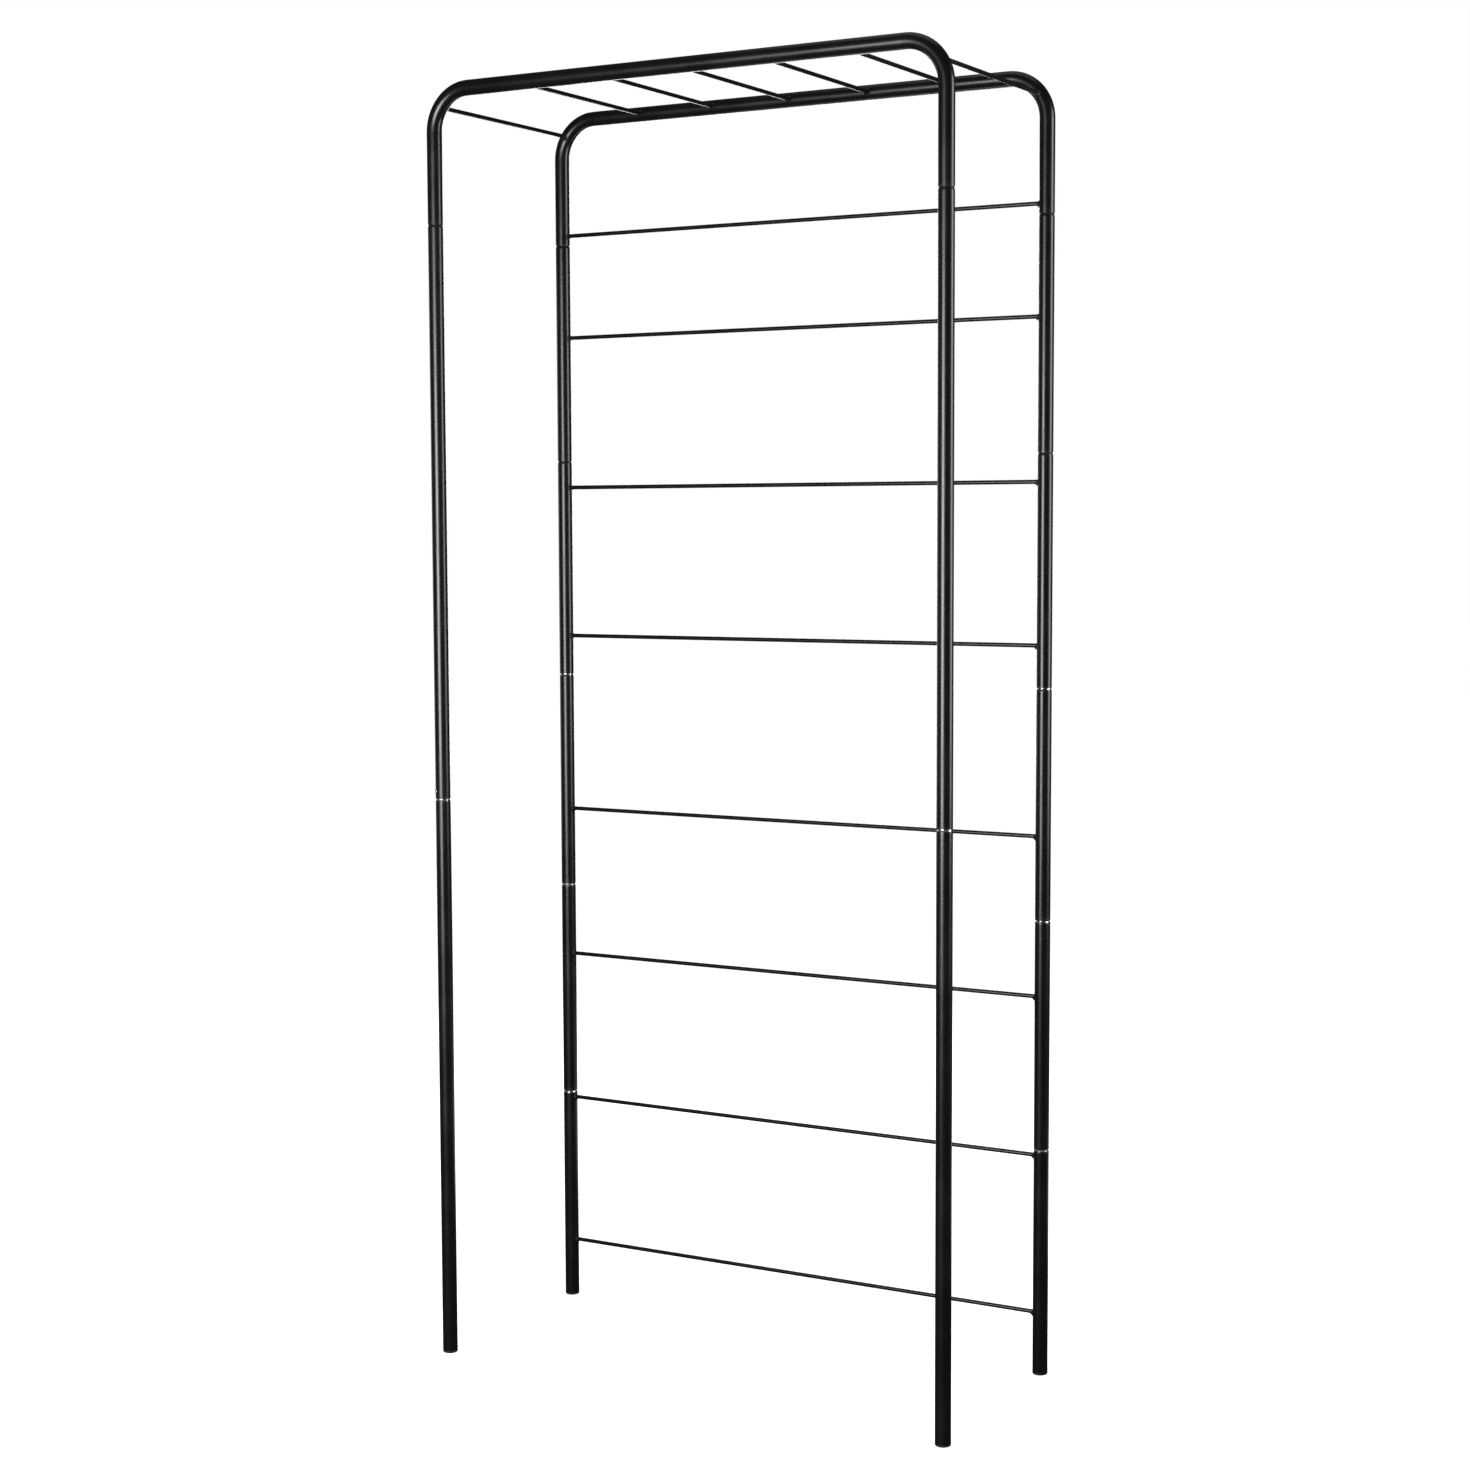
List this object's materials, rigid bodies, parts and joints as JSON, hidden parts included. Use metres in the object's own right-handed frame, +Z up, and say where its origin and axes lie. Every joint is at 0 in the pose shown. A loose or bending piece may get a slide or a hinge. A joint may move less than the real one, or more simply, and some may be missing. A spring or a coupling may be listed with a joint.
{
  "type": "metal trellis arch",
  "caption": "Garden trellis arch: two bent-tube hoops joined by roof rods, standing on push-together tube legs, the rear pair joined by ladder rungs.",
  "frame": {"origin": "on the ground, midway between the four feet", "axes": "+X along the width, from the left legs to the right legs; +Y from the plain front hoop to the rear hoop with the rungs; +Z up"},
  "size_m": [0.945, 0.4031, 2.1175],
  "materials": {
    "frame_paint": "satin black powder coat on steel tube",
    "rod_paint": "satin black powder coat on steel rod",
    "plug_plastic": "matt black moulded plastic",
    "screw_paint": "satin black coated steel screw head"
  },
  "bodies": {
    "base": {"rear_left_tube_5": "frame_paint", "rear_right_tube_5": "frame_paint", "rung_7": "rod_paint", "rung_8": "rod_paint", "front_left_lower_tube": "frame_paint", "front_right_lower_tube": "frame_paint", "front_left_foot_plug": "plug_plastic", "front_right_foot_plug": "plug_plastic", "rear_left_foot_plug": "plug_plastic", "rear_right_foot_plug": "plug_plastic"},
    "rear_section_4": {"rear_left_tube_4": "frame_paint", "rear_right_tube_4": "frame_paint", "rung_6": "rod_paint"},
    "rear_section_3": {"rear_left_tube_3": "frame_paint", "rear_right_tube_3": "frame_paint", "rung_5": "rod_paint"},
    "rear_section_2": {"rear_left_tube_2": "frame_paint", "rear_right_tube_2": "frame_paint", "rung_3": "rod_paint", "rung_4": "rod_paint"},
    "rear_section_1": {"rear_left_tube_1": "frame_paint", "rear_right_tube_1": "frame_paint", "rung_2": "rod_paint"},
    "roof": {"front_hoop": "frame_paint", "rear_hoop": "frame_paint", "roof_rod_1": "rod_paint", "roof_rod_2": "rod_paint", "roof_rod_3": "rod_paint", "roof_rod_4": "rod_paint", "roof_rod_5": "rod_paint", "roof_rod_6": "rod_paint", "roof_rod_7": "rod_paint", "rung_1": "rod_paint"},
    "front_left_upper": {"front_left_upper_tube": "frame_paint", "lock_screw": "screw_paint"},
    "front_right_upper": {"front_right_upper_tube": "frame_paint"}
  },
  "joints": [
    {"name": "rear_section_4_lift", "type": "slide", "parent": "base", "child": "rear_section_4", "axis": [0, 0, 1], "range_m": [0, 0.06]},
    {"name": "rear_section_3_lift", "type": "slide", "parent": "rear_section_4", "child": "rear_section_3", "axis": [0, 0, 1], "range_m": [0, 0.06]},
    {"name": "rear_section_2_lift", "type": "slide", "parent": "rear_section_3", "child": "rear_section_2", "axis": [0, 0, 1], "range_m": [0, 0.06]},
    {"name": "rear_section_1_lift", "type": "slide", "parent": "rear_section_2", "child": "rear_section_1", "axis": [0, 0, 1], "range_m": [0, 0.06]},
    {"name": "roof_lift", "type": "slide", "parent": "rear_section_1", "child": "roof", "axis": [0, 0, 1], "range_m": [0, 0.12]},
    {"name": "front_left_upper_lift", "type": "slide", "parent": "base", "child": "front_left_upper", "axis": [0, 0, 1], "range_m": [0, 0.06]},
    {"name": "front_right_upper_lift", "type": "slide", "parent": "base", "child": "front_right_upper", "axis": [0, 0, 1], "range_m": [0, 0.06]}
  ],
  "couplings": [
    {"joint": "front_left_upper_lift", "follows": "roof_lift", "ratio": 0.5},
    {"joint": "front_right_upper_lift", "follows": "roof_lift", "ratio": 0.5}
  ]
}
